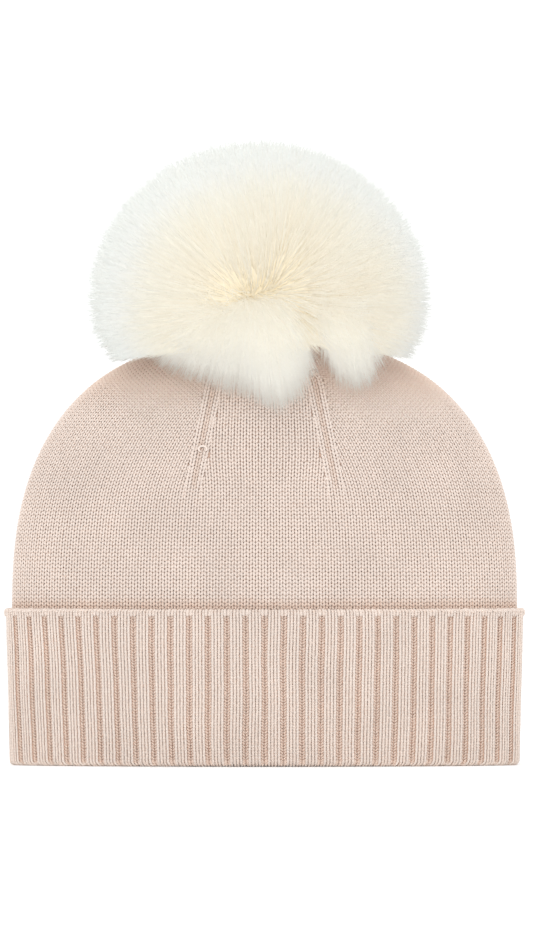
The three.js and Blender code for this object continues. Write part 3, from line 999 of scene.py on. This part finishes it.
def build_felt_washer():
    """The felt washer under the snap's post: a soft-edged ring with loose fibres."""
    ring = SoftRing("felt_washer", 220, 40, 0.35)
    outer, middle, half = ring.outer, ring.middle, ring.half
    points = ring.points()
    rough = 0.10 * lumps(points.reshape(-1, 3) / outer, 0.16).reshape(points.shape[:2])
    points[..., 2] += rough
    piece = closed_grid("felt_ring", points, 0.5 + 3 * rough)
    settle(piece, FELT, "crown", "felt_washer")
    count = 700
    angle = rng.uniform(0, 2 * math.pi, count)
    away = np.stack([np.cos(angle), np.sin(angle), rng.normal(0, 0.4, count)], -1)
    root = np.stack([
        outer * np.cos(angle), outer * np.sin(angle),
        middle + half * rng.uniform(-0.8, 0.8, count)], -1)
    share = np.array([-0.4, 0.3, 1.0])
    curl = rng.normal(0, 0.4, (count, 1, 3)) * share[:, None] ** 2
    centres = root[:, None, :] + away[:, None, :] * share[:, None] * 0.7 + curl
    heap = Heap(sides=3)
    heap.add(centres, np.full((count, 3), 0.035), unit(away + 0.01), 0.8)
    heap.make("felt_fibres", FELT, "crown", "felt", "felt_washer")


def build_seam():
    """The linking yarn up the centre back, inside: a chain of loops from the rim to the pom."""
    low, high = box_mm("back_seam_yarn")
    loop_length = 2.4
    z = np.arange(low[2] + 1, high[2] - 1, loop_length)
    in_band = BAND_HIGH[1] - BAND_WALL - 1.1 - CUFF_TAPER * (1 - z / CUFF_HEIGHT)
    in_crown = crown_face_depth(0 * z, z) - CROWN_WALL - 1.1
    y = np.where(z < BAND_HIGH[2], in_band, np.minimum(in_crown, in_band.max() + 0.9))
    place = np.stack([0 * z, y, z], -1)
    up = unit(np.gradient(place, axis=0))
    side = np.tile([1.0, 0.0, 0.0], (len(z), 1))
    out = np.cross(up, side)
    out = out * -np.sign(out[:, 1:2])
    heap = Heap(sides=8)
    add_legs(heap, (place, side, up, out), 2.0, loop_length, 0.9, **LINKING)
    heap.make("seam_chain", SEWING_YARN, "crown", "sewing_yarn", "back_seam_yarn")


def build_label():
    """The blank satin label, hung by its stitched top edge."""
    low, high = box_mm("care_label")
    middle = (low[1] + high[1]) / 2
    width, length = high[0] - low[0], high[2] - low[2]
    columns, rows = 43, 49
    across, down = np.meshgrid(np.linspace(0, 1, columns), np.linspace(0, 1, rows))
    curl = -1.9 * down ** 2.2 + 0.35 * down * np.sin(2 * math.pi * across + 0.6)
    points = np.stack([
        low[0] + width * across, middle + curl, high[2] - length * down + 0.25 * down ** 3], -1)
    quads = grid_faces(rows, columns, wrap_rows=False, wrap_columns=False)
    label = mesh_object("label_tape", points.reshape(-1, 3), quads)
    thicken(label, 0.3)
    settle(label, SATIN, "label", "care_label")
    count = 11
    x = low[0] + 1 + (width - 2) * (np.arange(count) + 0.5) / count
    build_label_stitches("label_stitches_inner", "label", -1, x, middle, high[2] - 0.5)
    build_label_stitches("label_stitches_outer", "crown", 1, x, middle, high[2] - 0.5)


def build_label_stitches(name, body, face, x, y, z):
    """The stitches at places x on one face of the label: -1 is its front and 1 its back."""
    heap = Heap(sides=8)
    arch = face * 0.22 * (1 - LEG ** 4)
    centres = np.stack(np.broadcast_arrays(
        x[:, None] + 0.78 * LEG, y + face * 0.12 + arch, z + 0.12 * LEG), -1)
    radii = np.tile(0.17 * np.array([0.6, 1, 1.05, 1, 0.6]), (len(x), 1))
    heap.add(centres, radii, np.tile([0.0, float(face), 0.0], (len(x), 1)), 0.85)
    heap.make(name, SEWING_YARN, body, "sewing_yarn", "label_stitching")


def puff(piece, pinned, pressure, frames, most):
    """Blows a piece of cloth up with a cloth simulation, without gravity, and lets no point move
    further than most millimetres."""
    count = len(piece.data.vertices)
    before = np.empty(count * 3)
    piece.data.vertices.foreach_get("co", before)
    group = piece.vertex_groups.new(name="pinned")
    group.add([int(k) for k in pinned], 1.0, "REPLACE")
    cloth = piece.modifiers.new("cloth", "CLOTH")
    cloth.settings.quality = 6
    cloth.settings.mass = 0.05
    cloth.settings.use_pressure = True
    cloth.settings.uniform_pressure_force = pressure
    cloth.settings.effector_weights.gravity = 0
    cloth.settings.vertex_group_mass = "pinned"
    cloth.collision_settings.use_collision = False
    cloth.point_cache.frame_start = 1
    cloth.point_cache.frame_end = frames
    scene = bpy.context.scene
    for number in range(1, frames + 1):
        scene.frame_set(number)
    posed = piece.evaluated_get(bpy.context.evaluated_depsgraph_get())
    after = np.empty(count * 3)
    posed.data.vertices.foreach_get("co", after)
    piece.modifiers.remove(cloth)
    scene.frame_set(1)
    move = np.nan_to_num((after - before).reshape(-1, 3))
    reach = np.linalg.norm(move, axis=1, keepdims=True)
    move = move * np.minimum(1, most * MM / np.maximum(reach, 1e-9))
    piece.data.vertices.foreach_set("co", (before.reshape(-1, 3) + move).ravel())
    piece.data.update()


def build_stuffing():
    """The pom's stuffing: a lumpy ball, flat where it rests on the base disc."""
    ways, faces = ball_grid(5)
    radius = (CORE_HIGH[0] - 0.6) * (1 + 0.02 * lumps(ways, 0.5) + 0.01 * lumps(ways, 0.15))
    points = BALL_CENTRE + ways * radius[:, None]
    points[:, 2] = np.maximum(points[:, 2], CORE_LOW[2] + 0.2)
    core = mesh_object("stuffing", points, faces, 0.6 + 0.4 * lumps(ways, 0.2))
    settle(core, FIBREFILL, "pom", "pom_core")


def build_backing_bag():
    """The backing cloth gathered round the stuffing, with pleats at its mouth."""
    mouth_z = BALL_LOW[2] + 0.4
    rows, columns, pleats = 60, 240, 24
    lowest = math.acos((BALL_CENTRE[2] - mouth_z) / (BALL_RADIUS - 1))
    turn = turns(columns)
    fall = np.linspace(0, math.pi - lowest, rows)
    gather = smooth(fall, 1.7, math.pi - lowest)[:, None] * np.cos(pleats * turn)
    radius = BALL_RADIUS - 1.7 + 0.55 * gather
    out = radius * np.sin(fall)[:, None]
    points = np.stack([
        out * np.cos(turn), out * np.sin(turn), BALL_CENTRE[2] + radius * np.cos(fall)[:, None]],
        -1)
    points[0] = points[0].mean(0)
    quads = grid_faces(rows, columns, wrap_rows=False)[:, [0, 3, 2, 1]]
    # Painted light and shade: the pleats are lighter on their ridges and darker in their folds.
    bag = mesh_object("backing_bag", points.reshape(-1, 3), quads, 0.55 + 0.4 * gather)
    merge_doubles(bag)
    mouth = [v.index for v in bag.data.vertices if v.co.z / MM < mouth_z + 1.2]
    puff(bag, mouth, pressure=4.0, frames=14, most=0.9)
    thicken(bag, 0.5)
    settle(bag, BACKING_CLOTH, "pom", "pom_backing")


def build_base_disc():
    """The cloth-covered disc that the snap's socket is fixed through."""
    ring = SoftRing("pom_base_disc", 180, 36, 0.45)
    tucks = 0.06 * np.cos(36 * ring.around)[:, None] * smooth(ring.radius, 8, ring.outer)
    disc = closed_grid("base_disc", ring.points(1 - tucks), 0.6 + 3 * tucks)
    settle(disc, BACKING_CLOTH, "pom", "pom_base_disc")


# ---- Fur ---------------------------------------------------------------------------------------

BALL_CENTRE = np.array([0.0, 0.0, BALL_HIGH[2] - BALL_HIGH[0]])
BALL_RADIUS = BALL_HIGH[0]
PILE_CENTRE = np.array([-2.0, 0.0, FUR_HIGH[2] - 64.0])
PILE_RADII = np.array([72.0, 69.0, 66.5])
PILE_FLOW = np.array([-4.0, 0.0, 193.0])   # the hairs fan out from here
PARTINGS = [                     # from, to, strength: directions from PILE_FLOW
    ((-0.10, -1.0, 0.02), (0.17, -1.0, 0.13), 0.42),
    ((-0.15, -1.0, -0.15), (-0.13, -1.0, -0.12), 0.26),
    ((0.50, -1.0, -0.17), (0.54, -1.0, -0.15), 0.24),
    ((0.10, 1.0, 0.05), (-0.15, 1.0, 0.20), 0.42),
]
FUR_LIFT = 2.9                   # over the crown, so that the pom can turn
DRAPE_LIFT = 1.2                 # of the locks over the crown's face


def lowest_fur(points):
    """The lowest that a turning hair may be, clear of the crown's widest outline, the snap and
    the base disc."""
    radius = np.hypot(points[..., 0], points[..., 1])
    share = np.clip(radius / CROWN_HIGH[0], 0, 1)
    crown = CUFF_HEIGHT + CROWN_HEIGHT * (1 - share ** CROWN_POWER) ** (1 / CROWN_POWER)
    disc = 188.4 * (1 - smooth(radius, 13, 24))
    return np.maximum(crown + FUR_LIFT, disc)


def even_directions(count):
    """Directions spread evenly over a ball, along a golden spiral."""
    k = np.arange(count) + 0.5
    z = 1 - 2 * k / count
    turn = math.pi * (3 - math.sqrt(5)) * k
    r = np.sqrt(1 - z * z)
    return np.stack([r * np.cos(turn), r * np.sin(turn), z], -1)


def comb(directions, partings):
    """Turns hair directions away from the nearest parting, each a line between two directions,
    given as (from, to, strength). Also gives each hair's angle from its nearest parting."""
    combed = directions.copy()
    closest = np.full(len(directions), math.pi)
    for start, end, strength in partings:
        a, b = unit(np.array(start, float)), unit(np.array(end, float))
        share = np.clip(((directions - a) @ (b - a)) / ((b - a) @ (b - a)), 0, 1)
        nearest = unit(a + share[:, None] * (b - a))
        away = directions - nearest
        angle = np.linalg.norm(away, axis=1)
        closest = np.minimum(closest, angle)
        push = strength * (1 - np.exp(-angle / 0.08)) * np.exp(-angle / 0.75)
        combed += unit(away) * push[:, None]
    return unit(combed), closest


def ray_reach(origin, directions, centre, radii):
    """How far rays from a point inside an ellipsoid go before they leave it."""
    start = (origin - centre) / radii
    ray = directions / radii
    a = (ray ** 2).sum(-1)
    b = (ray * start).sum(-1)
    c = (start ** 2).sum() - 1
    return ((np.sqrt(b * b - a * c) - b) / a)[:, None]


def ball_grid(subdivisions):
    """Directions and triangles of a finely divided icosahedron."""
    grid = bmesh.new()
    bmesh.ops.create_icosphere(grid, subdivisions=subdivisions, radius=1)
    ways = np.array([vertex.co for vertex in grid.verts])
    faces = np.array([[vertex.index for vertex in face.verts] for face in grid.faces])
    grid.free()
    return unit(ways), faces


def lumps(ways, pitch, count=48):
    """Soft bumps over a ball, from -1 to 1, about one for each pitch of its radius."""
    axes = unit(rng.normal(size=(count, 3)))
    phase = rng.uniform(0, 2 * math.pi, count)
    waves = np.sin(ways @ axes.T * (2 * math.pi / pitch) + phase)
    return np.clip(waves.mean(1) * math.sqrt(count) * 0.7, -1, 1)


def lower_trim(ways):
    """How much shorter the hairs are that point down at the crown."""
    return 1 - 0.07 * smooth(-ways[:, 2], 0.1, 0.6)


def pile_depth(x, z):
    """How far the pile reaches from the middle plane of the hat at a place seen from the front."""
    across = (x - PILE_CENTRE[0]) / PILE_RADII[0]
    up = (z - PILE_CENTRE[2]) / PILE_RADII[2]
    return PILE_RADII[1] * np.sqrt(np.clip(1 - across ** 2 - up ** 2, 0.05, 1))


def build_underfur():
    """The dense short fur between the long hairs, creased along the partings."""
    ways, faces = ball_grid(6)
    _, from_parting = comb(ways, PARTINGS)
    hollow = 0.15 * np.exp(-(from_parting / 0.55) ** 2)
    crease = 0.07 * np.exp(-(from_parting / 0.07) ** 2)
    share = UNDERFUR * (1 - hollow - crease) + 0.008 * lumps(ways, 0.07) + 0.015 * lumps(ways, 0.3)
    reach = ray_reach(PILE_FLOW, ways, PILE_CENTRE, PILE_RADII)
    points = PILE_FLOW + ways * reach * (share * lower_trim(ways))[:, None]
    points[:, 2] = np.maximum(points[:, 2], lowest_fur(points) + 1)
    tone = 0.05 + 0.9 * smooth(from_parting, 0.05, 1.0)
    coat = mesh_object("pom_underfur", points, faces, tone)
    settle(coat, UNDERFUR_COAT, "pom", "pom_fur")


def bezier(points, shares):
    """Points on cubic curves: points is a list of four (count, 3) arrays."""
    t = shares[None, :, None]
    a, b, c, d = (p[:, None, :] for p in points)
    return ((1 - t) ** 3 * a + 3 * t * (1 - t) ** 2 * b
            + 3 * t ** 2 * (1 - t) * c + t ** 3 * d)


def gather_locks(tips, roots, lock_count, pull):
    """Draws hair tips together into locks round every so many-th hair."""
    leaders = np.linspace(0, len(tips) - 1, lock_count).astype(int)
    tree = kdtree.KDTree(lock_count)
    for index, leader in enumerate(leaders):
        tree.insert(roots[leader], index)
    tree.balance()
    nearest = np.array([tree.find(root)[1] for root in roots])
    lead = tips[leaders[nearest]]
    return tips + (lead - tips) * pull[:, None], nearest


def make_hair(heap, name, body):
    """Makes a heap's pieces of fur. Fine fur lets soft light through, so it keeps none from what
    is behind it."""
    for piece in heap.make(name, FUR, body, "fur_pile", "pom_fur"):
        piece.visible_diffuse = False


def build_fur():
    """The pile: hairs rooted on the ball that fan out and lie away from the partings. Each is
    made from where it comes out of the underfur."""
    fan = even_directions(HAIRS)
    fan = fan[fan[:, 2] > -0.84]
    count = len(fan)
    base = PILE_FLOW + fan * ray_reach(PILE_FLOW, fan, BALL_CENTRE, BALL_RADIUS - 0.5)
    combed, from_parting = comb(fan, PARTINGS)
    combed = unit(combed + rng.normal(0, 0.022, (count, 3)))
    length = (1.01 - np.abs(rng.normal(0, 0.085, count))) * lower_trim(combed)
    reach = ray_reach(PILE_FLOW, combed, PILE_CENTRE, PILE_RADII) * length[:, None]
    tips, lock = gather_locks(
        PILE_FLOW + combed * reach, fan, LOCKS, rng.uniform(0, 0.16, count))
    lock_length = rng.normal(0, 0.012, lock.max() + 1)[lock][:, None]
    tips = PILE_CENTRE + (tips - PILE_CENTRE) * (1 + lock_length)
    tips[:, 2] = np.maximum(tips[:, 2], lowest_fur(tips) + rng.exponential(2.2, count))
    first = base + fan * np.linalg.norm(tips - base, axis=1, keepdims=True) * 0.64
    second = PILE_FLOW + unit(0.4 * fan + 0.6 * combed) * reach * 0.97
    along = np.linspace(0.40, 1, 4)
    centres = bezier([base, first, second, tips], along)
    centres = centres + rng.normal(0, 0.22, (count, 1, 3)) * np.sin(along * math.pi)[:, None]
    centres[..., 2] = np.maximum(centres[..., 2], lowest_fur(centres))
    radii = HAIR_RADIUS * np.array([1.2, 1.1, 0.85, 0.2]) * rng.normal(1, 0.12, (count, 1))
    warmth = 0.35 + 0.65 * smooth(from_parting, 0.1, 1.0)[:, None]
    tone = np.clip(along * warmth + 3.5 * lock_length + rng.normal(0, 0.02, (count, 1)), 0, 1)
    order = np.argsort(np.arctan2(fan[:, 1], fan[:, 0]))
    heap = Heap(sides=3)
    heap.add(centres[order], radii[order], fan[order], tone[order])
    make_hair(heap, "pom_hair", "pom")


def build_drape(name, face, lobes, count):
    """Locks that fall over one face of the crown: face is -1 for the front and 1 for the back.
    Each lobe is ((x, z) where its hairs come out of the pile, [(x, z), ...] of its lower edge).
    They lift with the pom, and stay on their side when it turns."""
    span = sum(edge[-1][0] - edge[0][0] for _, edge in lobes)
    heap = Heap(sides=3)
    for spring, edge in lobes:
        add_lobe(heap, face, spring, edge, int(count * (edge[-1][0] - edge[0][0]) / span))
    make_hair(heap, name, "snap_ring")


def add_lobe(heap, face, spring, edge, count):
    """The hairs of one lobe: curves from inside the pile, over its side and down to the edge."""
    def place(x, depth, z):
        return np.stack([x, face * depth, z], -1)

    edge_x, edge_z = np.array(edge, float).T
    x = rng.uniform(edge_x[0], edge_x[-1], count)
    z = np.interp(x, edge_x, edge_z) + rng.gamma(1.8, 6.0, count) - 4.5
    x = x + rng.normal(0, 1.8, count)
    depth = crown_face_depth(x, z) + DRAPE_LIFT + 0.1 + rng.uniform(0, 1, count) ** 1.7 * 22
    tips = place(x, depth, z)
    tips, _ = gather_locks(tips, tips, max(20, count // 20), rng.uniform(0.0, 0.55, count))
    towards = tips[:, 0] - spring[0]
    drop = spring[1] - tips[:, 2]
    early = rng.uniform(0, 1, count)
    root_x = spring[0] + 0.3 * early * towards + rng.normal(0, 2.5, count)
    root_z = spring[1] - 0.2 * early * drop + rng.normal(0, 2.0, count)
    roots = place(root_x, 0.62 * pile_depth(root_x, root_z), root_z)
    first_x = root_x + 0.35 * towards
    first_depth = pile_depth(first_x, root_z) * rng.uniform(0.98, 1.14, count)
    first = place(first_x, first_depth, root_z - 0.05 * drop)
    second_x = tips[:, 0] - 0.25 * towards
    second_z = tips[:, 2] + 0.48 * drop
    second_depth = 0.35 * np.abs(tips[:, 1]) + 0.68 * pile_depth(second_x, second_z)
    second = place(second_x, second_depth, second_z)
    along = np.linspace(0, 1, 6)
    centres = bezier([roots, first, second, tips], along)
    clear = crown_face_depth(centres[..., 0], centres[..., 2]) + DRAPE_LIFT
    centres[..., 1] = face * np.maximum(np.abs(centres[..., 1]), clear)
    taper = np.array([1.0, 1.0, 0.95, 0.85, 0.6, 0.2])
    radii = HAIR_RADIUS * taper * rng.normal(1, 0.12, (count, 1))
    tone = np.clip(0.1 + 0.6 * along + rng.normal(0, 0.02, (count, 1)), 0, 1)
    heap.add(centres, radii, unit(first - roots), tone)


# ---- Camera, floor and light -------------------------------------------------------------------

SENSOR = 36.0
LENS = 500.0                     # a long lens, so that the hat is seen square on
VIEW_HEIGHT = 0.3935             # metres from the bottom to the top of the picture
VIEW_CENTRE = (0.0008, 0.1208)   # X and Z at the middle of the picture
LIGHT_BOUNCES = 10


def build_camera():
    """A camera far off, square to the front of the hat."""
    camera = bpy.data.cameras.new("camera")
    camera.lens = LENS
    camera.sensor_width = SENSOR
    camera.clip_end = 100
    distance = VIEW_HEIGHT / 2 * LENS / (SENSOR / 2)
    holder = add_object("camera", camera)
    holder.location = (VIEW_CENTRE[0], -distance, VIEW_CENTRE[1])
    holder.rotation_euler = (math.pi / 2, 0, 0)
    bpy.context.scene.camera = holder


def build_floor():
    """A matt white floor, which is no part of the hat."""
    half = 3.0
    mesh = bpy.data.meshes.new("floor")
    mesh.from_pydata(
        [(-half, -half, 0), (half, -half, 0), (half, half, 0), (-half, half, 0)],
        [], [(0, 1, 2, 3)])
    floor = add_object("floor", mesh)
    material, shader, _, _ = new_material("floor")
    shader.inputs["Base Color"].default_value = (0.93, 0.93, 0.93, 1)
    shader.inputs["Roughness"].default_value = 1.0
    shader.inputs["Specular IOR Level"].default_value = 0.0
    mesh.materials.append(material)


def area_light(name, place, aim, size, power):
    """A round lamp that the camera doesn't see, with its place, aim and size in metres."""
    light = bpy.data.lights.new(name, "AREA")
    light.shape = "DISK"
    light.size = size
    light.energy = power
    holder = add_object(name, light)
    holder.location = place
    direction = np.array(aim) - np.array(place)
    holder.rotation_euler = Vector(direction).to_track_quat("-Z", "Y").to_euler()
    holder.visible_camera = False


def build_light():
    """Even light from all round, as in a white tent, with a broad soft key from the front."""
    world = bpy.data.worlds.new("studio")
    world.use_nodes = True
    background = world.node_tree.nodes["Background"]
    background.inputs["Color"].default_value = (1, 1, 1, 1)
    background.inputs["Strength"].default_value = 1.15
    bpy.context.scene.world = world
    middle = (0, 0, 0.12)
    area_light("key", (-0.3, -1.9, 1.15), middle, 1.2, 10)
    area_light("top", (0.2, 0.3, 2.2), middle, 1.2, 5)
    scene = bpy.context.scene
    scene.cycles.max_bounces = 24
    scene.cycles.diffuse_bounces = LIGHT_BOUNCES
    scene.view_settings.view_transform = "Standard"
    scene.view_settings.look = "None"


# ---- Building it all ---------------------------------------------------------------------------

build_camera()
build_floor()
build_light()
build_crown()
build_snag()
build_cuff()
build_band()
build_seam()
build_label()
build_yarn_ring("gather_ring", "crown_gather_yarn", "crown")
build_felt_washer()
build_snap()
build_snap_spring()
build_base_disc()
build_yarn_ring("pom_ring", "pom_gather_yarn", "pom")
build_stuffing()
build_backing_bag()
build_underfur()
build_fur()
build_drape("front_locks", -1, [
    ((-13, 185), [(-52, 175), (-40, 165.5), (-29, 162), (-19, 159.5)]),
    ((-5, 191), [(-23, 160), (-14, 156), (-5, 153.5), (6, 148.5), (15, 154), (21, 165)]),
    ((26, 187), [(24, 172), (31, 160), (38, 157), (45, 160.5), (51, 172)]),
], DRAPED_HAIRS)
build_drape("back_locks", 1, [
    ((-16, 188), [(-56, 171), (-38, 161), (-20, 164)]),
    ((4, 190), [(-20, 163), (-4, 155), (14, 159), (22, 166)]),
    ((30, 187), [(20, 168), (32, 158), (56, 172)]),
], DRAPED_HAIRS * 2 // 3)
